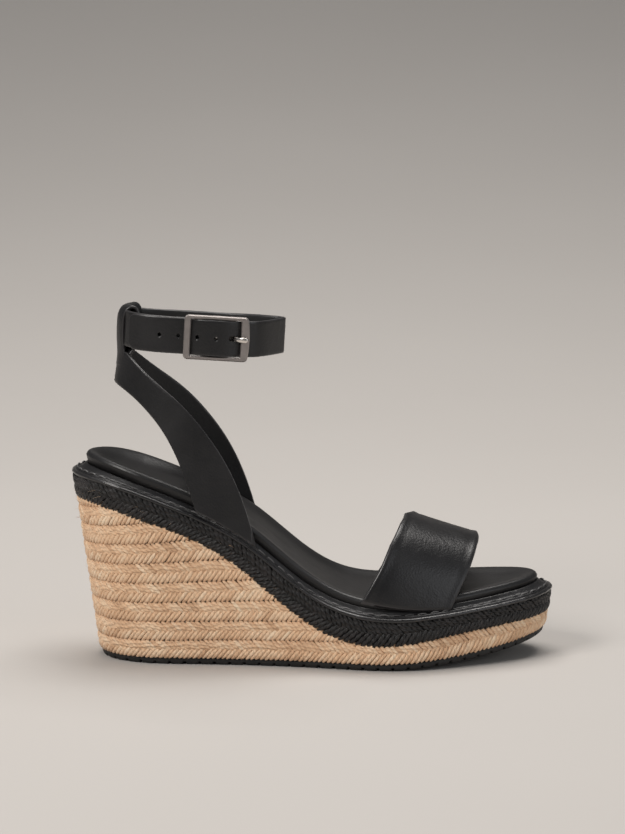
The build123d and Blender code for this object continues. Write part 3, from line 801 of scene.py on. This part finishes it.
def cushion(name, node, material, within, sunk, base):
    """A cupped footbed layer: a low side wall, a rolled rim, and a dished middle."""
    share = np.arange(RING) / RING
    edge, _ = follow(share, footbed_top, np.full(RING, 5.0))
    inset = 5.2 + within + set_back(edge[:, 0])
    bottom, _ = follow(share, lambda x: crest(x) + base, inset)
    wall, _ = follow(share, lambda x: footbed_top(x) - 2.3 - sunk, inset - 0.5)
    parts = np.concatenate([[0, 0.006, 0.018, 0.035, 0.06, 0.09, 0.13, 0.18], np.linspace(0.25, 1, 16)])
    rings = [bottom, wall]
    for part in parts:
        flat, reach = to_spine(wall, part)
        heel = np.clip((-30 - flat[:, 0]) / 60, 0, 1)
        roll = 2.0 * (1 - np.clip(reach / 2.0, 0, 1)) ** 2.2
        dish = (1.7 + 2.6 * heel) * (1 - np.exp(-np.clip(reach - 1.8, 0, None) ** 2 / 45))
        arch = 1.6 * bump_at(flat[:, 0], -20, 28) * np.clip(flat[:, 1] / 30, 0, 1)
        toes = 0.5 * bump_at(flat[:, 0], 62, 20) * np.clip(reach / 14, 0, 1)
        height = footbed_top(flat[:, 0]) - roll - dish + arch - toes - sunk
        rings.append(np.concatenate([flat, height[:, None]], axis=1))
    points = np.stack(rings, axis=1)
    under, _ = to_spine(bottom, 0.25)
    last = np.concatenate([under, (bottom[:, 2] - 0.2)[:, None]], axis=1)
    points = np.concatenate([points, last[:, None]], axis=1)
    columns = points.shape[1]
    faces = grid_faces(RING, columns - 1, close_rows=True)
    faces = faces + (faces // (columns - 1))
    skirt_first = np.arange(RING) * columns
    skirt_next = (np.arange(RING) + 1) % RING * columns
    skirt = np.stack([skirt_first, skirt_next, skirt_next + columns - 1, skirt_first + columns - 1], axis=-1)
    thing = piece(name, points, np.concatenate([faces, skirt[:, ::-1]]), [material])
    weld(thing, WIDE_WELD)
    belongs(thing, node)
    return thing


def make_footbed():
    cover = cushion("footbed_leather_cover", "footbed_cover", FOOTBED, 0.0, 0.0, 3.0)
    cushion("footbed_foam", "footbed_pad", FOAM, 1.7, 1.4, 3.2)


NOTCH_PITCH = 7.6


def make_outsole():
    """Rubber outsole with tread notches along its lower edge and shallow bars under it."""
    count = RING * 2
    share = np.arange(count) / count
    path, _ = follow(share, ground, np.full(count, 0.8))
    run = run_along(path)
    total = run[-1] + np.linalg.norm(path[0] - path[-1])
    notches = round(total / NOTCH_PITCH)
    phase = (run / total * notches) % 1.0
    notch = np.where(np.clip(1 - np.abs(phase - 0.5) / 0.11, 0, 1) > 0.15, 1.0, 0.0)
    section = [
        (4.5, 3.6, 0), (1.3, 3.6, 0), (0.95, 3.45, 0), (0.8, 3.1, 0), (0.8, 2.2, 0), (0.8, 1.75, 0.15),
        (0.85, 1.5, 1), (0.95, 0.9, 1), (1.3, 0.35, 1), (2.0, 0.05, 1), (2.6, 0.0, 1), (3.6, 0.0, 0),
    ]
    rings = []
    for inset, lift, deep in section:
        raise_by = notch * deep * max(0.0, 1.5 - lift) * 0.75
        point, _ = follow(share, lambda x: ground(x) + lift + raise_by, inset + notch * deep * 0.9)
        rings.append(point)
    sole_edge = rings[-1]
    for part in np.linspace(0.08, 1, 14):
        flat, reach = to_spine(sole_edge, part)
        bars = (np.abs((flat[:, 0] / 9.0) % 1 - 0.5) < 0.17) & (part < 0.98)
        height = ground(flat[:, 0]) + np.where(bars, 0.55, 0.0)
        rings.append(np.concatenate([flat, height[:, None]], axis=1))
    points = np.stack(rings, axis=1)
    faces = grid_faces(count, points.shape[1], close_rows=True)
    thing = piece("outsole_rubber", points, faces, [RUBBER])
    weld(thing, WIDE_WELD)
    belongs(thing, "outsole")


# ---------------------------------------------------------------- vamp band
VAMP_ARCHES = np.array([            # x, middle y, half width, foot and crown heights
    (12, -2.0, 40.2, 22, 87.9), (38, -1.9, 41.9, 18, 77.2),
    (64, 0.2, 38.6, 18, 67.7), (92, 1.5, 30.0, 22, 59.2),
])
VAMP_REAR_EDGE = np.array(
    [(14, 20), (25.2, 38.9), (32.8, 52.2), (37.6, 62.5), (43, 70.9), (46.6, 74), (54, 95)], float)
VAMP_FRONT_EDGE = np.array(
    [(66, 25), (71.6, 37.1), (76.2, 45.6), (79, 51.3), (82.2, 58.1), (84.2, 61), (92, 80)], float)
ARCH_POWER = 2.4
VAMP_MIDDLE_X = 50.0
VAMP_SPAN = 45.0                   # about how far the band reaches from its rear to its front edge


def arch_point(x, angle, inset):
    """A point of the foot-shaped arch at x; angle runs from 0 on the inner side to pi on the outer side."""
    centre, half, base, crown = (spline_at(VAMP_ARCHES[:, 0], VAMP_ARCHES[:, k], x) for k in (1, 2, 3, 4))
    cosine, sine = np.cos(angle), np.maximum(np.sin(angle), 1e-6)
    y = centre + (half - inset) * np.sign(cosine) * np.abs(cosine) ** (2 / ARCH_POWER)
    z = base + (crown - inset - base) * sine ** (2 / ARCH_POWER)
    return np.stack([x, y, z], axis=-1)


def arch_edge(angle, edge, inset):
    x = np.full(angle.shape, VAMP_MIDDLE_X)
    for _ in range(30):
        z = arch_point(x, angle, inset)[..., 2]
        x = 0.5 * x + 0.5 * np.interp(z, edge[:, 1], edge[:, 0])
    return x


def vamp_grid(inset, trim, half):
    """The band's middle points: along the arch, and across from its rear to its front edge."""
    angle = np.linspace(0, np.pi, 400)
    probe_x = np.full(angle.shape, VAMP_MIDDLE_X)
    keep = arch_point(probe_x, angle, inset)[:, 2] > crest(probe_x) + 4.6
    angle = np.linspace(angle[keep][0], angle[keep][-1], 120)
    rear = arch_edge(angle, VAMP_REAR_EDGE, inset) + trim
    rear = rear + 10 * np.clip((arch_point(rear, angle, inset)[:, 1] + 6) / 36, 0, 1) ** 0.8
    front = arch_edge(angle, VAMP_FRONT_EDGE, inset) - trim
    places = edge_places(VAMP_SPAN, half, 26) / VAMP_SPAN
    x = rear[:, None] + (front - rear)[:, None] * places[None, :]
    return arch_point(x, np.broadcast_to(angle[:, None], x.shape), inset), places


def make_vamp():
    half = 1.05
    middle, places = vamp_grid(half, 0.0, half)
    from_edge = np.minimum(places, 1 - places) * VAMP_SPAN
    roll = 0.32 * bump_at(from_edge, 1.6, 1.5) - 0.14 * bump_at(from_edge, 4.6, 1.3)
    swell = np.broadcast_to(roll[None, :], middle.shape[:2])
    outer = sheet_solid("vamp_band_leather", middle, half, [UPPER, EDGE_PAINT_AND_HIGHLIGHT], swell)
    belongs(outer, "vamp_band")
    half = 0.4
    middle, _ = vamp_grid(2.35, 1.0, half)
    belongs(sheet_solid("vamp_band_lining", middle, half, [LINING, LINING]), "vamp_lining")


# ---------------------------------------------------------------- sling quarter and heel loop
WALL_CENTRE = (-40.0, -0.8)
WALL_LOW = 60.0
WALL_LENGTH_LOW = 74.0
WALL_WIDTH_LOW = 36.8
WALL_LENGTH_SLOPE = 0.155
WALL_WIDTH_SLOPE = 0.092
NECK_TOP = 157.0
NO_ROOF = 200.0
SLING_LOWER_EDGE = np.array(
    [(-110, 145), (-103, 142), (-92, 136), (-82, 127), (-72, 113), (-64.5, 96), (-58, 76), (-52, 55)], float)
SLING_UPPER_EDGE = np.array(
    [(-94, NECK_TOP), (-82, 146), (-67, 133.5), (-52, 116.3), (-41, 98), (-33, 77), (-27, 55)], float)


def heel_wall(turn, z, inset):
    """A point of the tapered heel wall; turn is 0 at the back, negative on the outer side."""
    length = WALL_LENGTH_LOW - WALL_LENGTH_SLOPE * (z - WALL_LOW) - inset
    width = WALL_WIDTH_LOW - WALL_WIDTH_SLOPE * (z - WALL_LOW) - inset
    x = WALL_CENTRE[0] - length * np.cos(turn)
    return np.stack([x, WALL_CENTRE[1] + width * np.sin(turn), z], axis=-1)


def sling_height(turn, edge, inset, roof):
    z = np.full(turn.shape, 120.0)
    for _ in range(60):
        x = heel_wall(turn, z, inset)[..., 0]
        goal = spline_at(edge[:, 0], edge[:, 1], np.clip(x, edge[0, 0], edge[-1, 0]))
        z = 0.6 * z + 0.4 * np.minimum(goal, roof)
    return z


def sling_grid(inset, trim, half):
    turn = np.linspace(-1.78, 1.78, 240)
    low = sling_height(turn, SLING_LOWER_EDGE, inset, NO_ROOF) + trim
    high = sling_height(turn, SLING_UPPER_EDGE, inset, NECK_TOP) - trim
    sole = crest(heel_wall(turn, low, inset)[..., 0]) + 4.2
    low = np.maximum(low, sole)
    keep = high > low + 1.5
    turn, low, high = turn[keep], low[keep], high[keep]
    places = edge_places(20.0, half, 16) / 20.0
    z = low[:, None] + (high - low)[:, None] * places[None, :]
    return heel_wall(np.broadcast_to(turn[:, None], z.shape), z, inset)


def make_sling():
    outer = sheet_solid("sling_quarter_leather", sling_grid(0.7, 0.0, 0.7), 0.7, [UPPER, EDGE_PAINT_AND_HIGHLIGHT])
    belongs(outer, "sling_quarter")
    inner = sheet_solid("sling_quarter_lining", sling_grid(1.95, 0.25, 0.5), 0.5, [LINING, EDGE_PAINT_AND_HIGHLIGHT])
    belongs(inner, "sling_lining")


LOOP_SIDE = [
    (-99.6, 149.0), (-98.9, 156.0), (-99.1, 163.0), (-98.9, 170.5), (-98.0, 176.2), (-95.6, 179.1),
    (-92.9, 179.2), (-91.3, 176.4), (-91.4, 169.0), (-92.0, 162.6), (-93.8, 158.4), (-96.6, 154.8),
    (-98.0, 149.5),
]
LOOP_HALF_WIDTH = 8.8
LOOP_DEPTH = 62                    # half-axes of the ellipse that bends the loop round the heel
LOOP_REACH = 27


def make_heel_loop():
    """The neck's band, folded over the ankle strap and sewn down inside."""
    side_view = smooth_path(LOOP_SIDE, 90)
    half = 0.8
    across = edge_places(2 * LOOP_HALF_WIDTH, half, 16) - LOOP_HALF_WIDTH
    widen = 1 + 0.16 * np.clip((160 - side_view[:, 1]) / 10, 0, 1)
    y = across[None, :] * widen[:, None]
    curve = LOOP_DEPTH * (1 - np.sqrt(1 - (y / LOOP_REACH) ** 2))
    x = side_view[:, :1] + curve
    z = np.broadcast_to(side_view[:, 1:], x.shape)
    middle = np.stack([x, y + WALL_CENTRE[1], z], axis=-1)
    thing = sheet_solid("heel_loop_leather", middle[:, ::-1], half, [UPPER, EDGE_PAINT_AND_HIGHLIGHT])
    belongs(thing, "heel_loop")


# ---------------------------------------------------------------- ankle strap
STRAP_ORIGIN = np.array([-97.0, 0.0, 169.3])
STRAP_TILT = math.radians(3.3)
STRAP_WIDTH = 18.0
MAIN_PATH = [
    (33, -24.3), (20, -23.3), (10, -18.6), (3.4, -10.5), (1.5, -1), (4.4, 8), (12, 13.4), (26, 16.2),
    (41, 16.2), (57, 12.6), (70, 5.2), (77.5, 0.6),
]
TONGUE_PATH = [
    (76.0, 1.6), (79.4, -0.2), (81.0, -2.6), (80.0, -5.6), (73.5, -17.0), (65.4, -25.4), (60.8, -26.9),
    (55, -29.2), (48, -30.4), (41, -29.3), (34, -27.2), (26.5, -27.1), (19.2, -26.3), (8.0, -21.2),
    (5.0, -18.3),
]
FOLD_PATH = [
    (31, -24.2), (36, -25.4), (42, -27.0), (46.5, -27.35), (49.4, -26.6), (50.1, -25.4), (49.3, -24.1),
    (46.5, -23.5), (41, -23.6), (33, -24.2),
]
CENTRE_BAR = (48.0, -25.4)
SAG = 1.8
OUTER_HALF = 0.62                  # half thicknesses of the strap's leather and its lining
INNER_HALF = 0.55
LAYER_OFFSET = 0.6
HOLE_SIDES = 20
HOLE_Y = -28.5


def in_strap_frame(points):
    """Points drawn in the strap's level frame, placed in the last's frame."""
    x, y, z = points[..., 0], points[..., 1], points[..., 2]
    cosine, sine = math.cos(STRAP_TILT), math.sin(STRAP_TILT)
    forward = STRAP_ORIGIN[0] + x * cosine + z * sine
    return np.stack([forward, y, STRAP_ORIGIN[2] - x * sine + z * cosine], axis=-1)


def line_and_left(path, count):
    """A path seen from above, with the directions to its left."""
    line = smooth_path(path, count)
    along = unit(np.gradient(line, axis=0))
    return line, np.stack([-along[:, 1], along[:, 0]], axis=-1)


def strap_grid(path, count, offset, width, half, sag=0.0):
    """Middle points of a strap layer on edge: along the path, and across from its lower to its upper edge."""
    line, left = line_and_left(path, count)
    line = line + left * offset
    z = edge_places(width, half, 14) - width / 2
    points = np.empty((count, len(z), 3))
    points[..., :2] = line[:, None]
    drop = sag * np.clip(line[:, 1] / 16, 0, 1) ** 1.5
    points[..., 2] = z[None, :] - drop[:, None]
    return points


def cut_holes(thing, cutters):
    """Takes cutter shapes out of a piece and keeps the result as its mesh."""
    for cutter in cutters:
        weld(cutter)
        change = thing.modifiers.new("hole", "BOOLEAN")
        change.operation = "DIFFERENCE"
        change.solver = "EXACT"
        change.use_hole_tolerant = True
        change.object = cutter
    bpy.context.view_layer.update()
    graph = bpy.context.evaluated_depsgraph_get()
    mesh = bpy.data.meshes.new_from_object(thing.evaluated_get(graph))
    thing.modifiers.clear()
    thing.data = mesh
    for cutter in cutters:
        bpy.data.objects.remove(cutter, do_unlink=True)


def hole_cutter(x, radius_x, radius_z):
    sides = HOLE_SIDES
    angle = around(sides)
    ring = np.stack([x + radius_x * np.cos(angle), np.zeros(sides), radius_z * np.sin(angle)], axis=-1)
    near = ring + [0, HOLE_Y - 8, 0]
    far = ring + [0, HOLE_Y + 8, 0]
    points = in_strap_frame(np.concatenate([near, far]))
    faces = [[k, (k + 1) % sides, sides + (k + 1) % sides, sides + k] for k in range(sides)]
    faces += [list(range(sides - 1, -1, -1)), list(range(sides, 2 * sides))]
    return piece("cutter", points, faces, [EDGE_PAINT_AND_HIGHLIGHT])


HOLES_X = [57.8 - 9.4 * k for k in range(1, 5)]
PRONG_HOLE_X = 57.4


def make_strap():
    grid = in_strap_frame(strap_grid(MAIN_PATH, 150, LAYER_OFFSET, STRAP_WIDTH, OUTER_HALF, SAG))
    outer = sheet_solid("ankle_strap_leather", grid, OUTER_HALF, [UPPER, EDGE_PAINT_AND_HIGHLIGHT])
    belongs(outer, "ankle_strap", "ankle_strap")
    grid = in_strap_frame(strap_grid(MAIN_PATH, 150, -LAYER_OFFSET, STRAP_WIDTH - 0.5, INNER_HALF, SAG))
    inner = sheet_solid("ankle_strap_lining_leather", grid, INNER_HALF, [LINING, EDGE_PAINT_AND_HIGHLIGHT])
    belongs(inner, "ankle_strap_lining", "ankle_strap")
    grid = in_strap_frame(strap_grid(FOLD_PATH, 90, 0, STRAP_WIDTH, INNER_HALF))
    fold = sheet_solid("buckle_fold_leather", grid, INNER_HALF, [UPPER, EDGE_PAINT_AND_HIGHLIGHT])
    cut_holes(fold, [slot_box(CENTRE_BAR[0] - 3.4, CENTRE_BAR[0] + 4.5, 3.4)])
    belongs(fold, "buckle_fold", "ankle_strap")


def slot_box(x_low, x_high, tall):
    """A box that cuts the window for the prong out of the fold."""
    y_low, y_high = -34.0, -20.0
    z_low, z_high = -tall / 2, tall / 2
    corners = np.array([(x, y, z) for x in (x_low, x_high) for y in (y_low, y_high) for z in (z_low, z_high)])
    faces = [[0, 1, 3, 2], [4, 6, 7, 5], [0, 4, 5, 1], [2, 3, 7, 6], [0, 2, 6, 4], [1, 5, 7, 3]]
    return piece("cutter", in_strap_frame(corners), faces, [EDGE_PAINT_AND_HIGHLIGHT])


def tongue_tip(points, radius):
    """Rounds the two corners of the tongue's end."""
    run = run_along(points[:, 0, :2])
    left = run[-1] - run
    half = STRAP_WIDTH / 2
    over = np.clip(radius - left, 0, radius)
    narrow = (half - radius + np.sqrt(radius**2 - over**2)) / half
    points[..., 2] *= narrow[:, None]
    return points


def make_tongue():
    for name, node, offset, width, thick, materials in (
        ("strap_tongue_leather", "strap_tongue", LAYER_OFFSET, STRAP_WIDTH, OUTER_HALF, [UPPER, EDGE_PAINT_AND_HIGHLIGHT]),
        ("strap_tongue_lining_leather", "strap_tongue_lining", -LAYER_OFFSET, STRAP_WIDTH - 0.4, INNER_HALF,
         [LINING, EDGE_PAINT_AND_HIGHLIGHT]),
    ):
        grid = tongue_tip(strap_grid(TONGUE_PATH, 190, offset, width, thick), 4.6)
        thing = sheet_solid(name, in_strap_frame(grid), thick, materials)
        cutters = [hole_cutter(x, 0.95, 0.95) for x in HOLES_X]
        cutters.append(hole_cutter(PRONG_HOLE_X, 2.7, 1.75))
        cut_holes(thing, cutters)
        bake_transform(thing)
        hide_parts(node)


PRONG_PATH = [
    (48.0, -27.15), (50.5, -27.0), (54.0, -27.1), (57.3, -28.7), (59.8, -30.9), (61.6, -31.9), (64.3, -32.1),
]


TIP_START = 0.93                   # share of the prong's length where its rounded tip begins


def squared(wave, power):
    """A sine or cosine pushed out towards a square wave, which squares off a round section."""
    return np.sign(wave) * np.abs(wave) ** power


def make_prong():
    """The prong: an eye on the centre bar, a slim shank, and a rounded tip that lies on the right bar."""
    count, sides = 60, 16
    line, left = line_and_left(PRONG_PATH, count)
    run = np.linspace(0, 1, count)
    tip = np.sqrt(np.clip(1 - np.clip((run - TIP_START) / 0.07, 0, 1) ** 2, 0.0004, 1))
    angle = around(sides)
    across = squared(np.cos(angle), 2 / 2.8) * 1.32
    deep = squared(np.sin(angle), 2 / 2.8) * 0.66
    points = np.empty((count, sides, 3))
    points[..., :2] = line[:, None] + left[:, None] * (deep[None, :, None] * tip[:, None, None])
    narrow = np.where(run > TIP_START, tip ** 0.5, 1)
    points[..., 2] = across[None, :] * (0.5 + 0.5 * tip)[:, None] * narrow[:, None]
    groove = bump_at(run, 0.9, 0.05)[:, None] * (np.abs(across) < 0.7)[None, :] * (deep > 0)[None, :]
    points[..., :2] += -left[:, None] * (groove * 0.22)[..., None]
    shank = in_strap_frame(points).reshape(-1, 3)
    faces = [quad.tolist() for quad in grid_faces(count, sides, close_columns=True)]
    faces += [list(range(sides - 1, -1, -1)), list(range((count - 1) * sides, count * sides))]
    turns, ring = 28, 10
    turn = around(turns)
    bead = around(ring)
    radius = 1.6 + 0.5 * np.cos(bead)
    eye = np.empty((turns, ring, 3))
    eye[..., 0] = CENTRE_BAR[0] + np.cos(turn)[:, None] * radius[None, :]
    eye[..., 1] = CENTRE_BAR[1] + np.sin(turn)[:, None] * radius[None, :]
    eye[..., 2] = (1.28 * squared(np.sin(bead), 0.6))[None, :]
    eye_faces = grid_faces(turns, ring, close_rows=True, close_columns=True, start=len(shank))
    thing = piece("prong_steel", np.concatenate([shank, in_strap_frame(eye).reshape(-1, 3)]),
                  faces + [quad.tolist() for quad in eye_faces], [POLISHED])
    belongs(thing, "buckle_prong", "buckle_prong")


def dress(node, material):
    """Gives a CAD node its finish."""
    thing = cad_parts[node]
    thing.data.materials.clear()
    thing.data.materials.append(material)


# ---------------------------------------------------------------- stage
def make_stage():
    """A plain studio sweep: a pale floor that curves up into the wall behind."""
    flat, start, curve, wall = 3.0, 0.5, 4.0, 1.0
    side = [(-3.5, 0.0), (start, 0.0)]
    steps = 60
    for step in range(1, steps + 1):
        angle = math.pi / 2 * step / steps
        side.append((start + curve * math.sin(angle), curve * (1 - math.cos(angle))))
    side.append((start + curve, curve + wall))
    mesh = bpy.data.meshes.new("studio_sweep")
    points = [(x, y, z) for y, z in side for x in (-flat * 1.6, flat * 1.6)]
    faces = [[2 * k, 2 * k + 1, 2 * k + 3, 2 * k + 2] for k in range(len(side) - 1)]
    mesh.from_pydata(points, [], faces)
    mesh.polygons.foreach_set("use_smooth", np.ones(len(mesh.polygons), bool))
    n = Nodes("paper_sweep")
    place = n.add("ShaderNodeNewGeometry").outputs["Position"]
    mottle = n.texture("Noise", place, Scale=3.0, Detail=2.0)
    n.paint("Base Color", mottle.outputs["Fac"], [(0.3, (0.475, 0.452, 0.428)), (0.7, (0.485, 0.462, 0.438))])
    n.fix(Roughness=0.85, Specular_IOR_Level=0.15)
    mesh.materials.append(n.material)
    thing = bpy.data.objects.new("studio_sweep", mesh)
    bpy.context.scene.collection.objects.link(thing)


def area_light(name, place, target, size, power, colour):
    lamp = bpy.data.lights.new(name, "AREA")
    lamp.shape = "RECTANGLE"
    lamp.size, lamp.size_y = size
    lamp.energy = power
    lamp.color = colour
    thing = bpy.data.objects.new(name, lamp)
    thing.location = place
    thing.rotation_euler = (Vector(target) - Vector(place)).to_track_quat("-Z", "Y").to_euler()
    bpy.context.scene.collection.objects.link(thing)


def make_lights():
    world = bpy.data.worlds.new("studio_air")
    bpy.context.scene.world = world
    world.use_nodes = True
    warm = (1.0, 0.965, 0.93)
    cool = (0.95, 0.97, 1.0)
    sky = world.node_tree.nodes["Background"].inputs
    sky["Color"].default_value = (*cool, 1)
    sky["Strength"].default_value = 0.20
    area_light("key_softbox", (-1.3, -1.1, 1.55), (-0.02, 0, 0.08), (0.9, 0.9), 31, warm)
    area_light("top_softbox", (0.15, 0.35, 1.7), (0, 0, 0.08), (1.3, 0.9), 27, warm)
    area_light("fill_card", (1.6, -1.3, 0.7), (0, 0, 0.08), (1.2, 1.2), 7, cool)


def make_camera():
    """Level with a shopper's eye over a table: a long lens, 9 degrees down on the outer side."""
    lens = bpy.data.cameras.new("camera")
    lens.lens = 118.9
    lens.sensor_width = 36.0
    lens.clip_end = 50.0
    thing = bpy.data.objects.new("camera", lens)
    thing.location = (-0.0006, -1.3785, 0.3482)
    thing.rotation_euler = (math.radians(90 - 9.3), 0, 0)
    bpy.context.scene.collection.objects.link(thing)
    bpy.context.scene.camera = thing


# ---------------------------------------------------------------- build
make_camera()
make_lights()
make_stage()
make_braids()
make_welt()
make_rand()
make_stitches()
make_footbed()
make_outsole()
make_vamp()
make_sling()
make_heel_loop()
make_strap()
make_tongue()
make_prong()
dress("buckle_frame", GUNMETAL)
dress("wedge_core", plain_fibre("pressed_cork", (0.20, 0.12, 0.06), (0.33, 0.21, 0.12)))
dress("insole_board", plain_fibre("fibre_board", (0.12, 0.09, 0.06), (0.18, 0.14, 0.10)))

scene = bpy.context.scene
scene.view_settings.view_transform = "Standard"
scene.view_settings.look = "None"
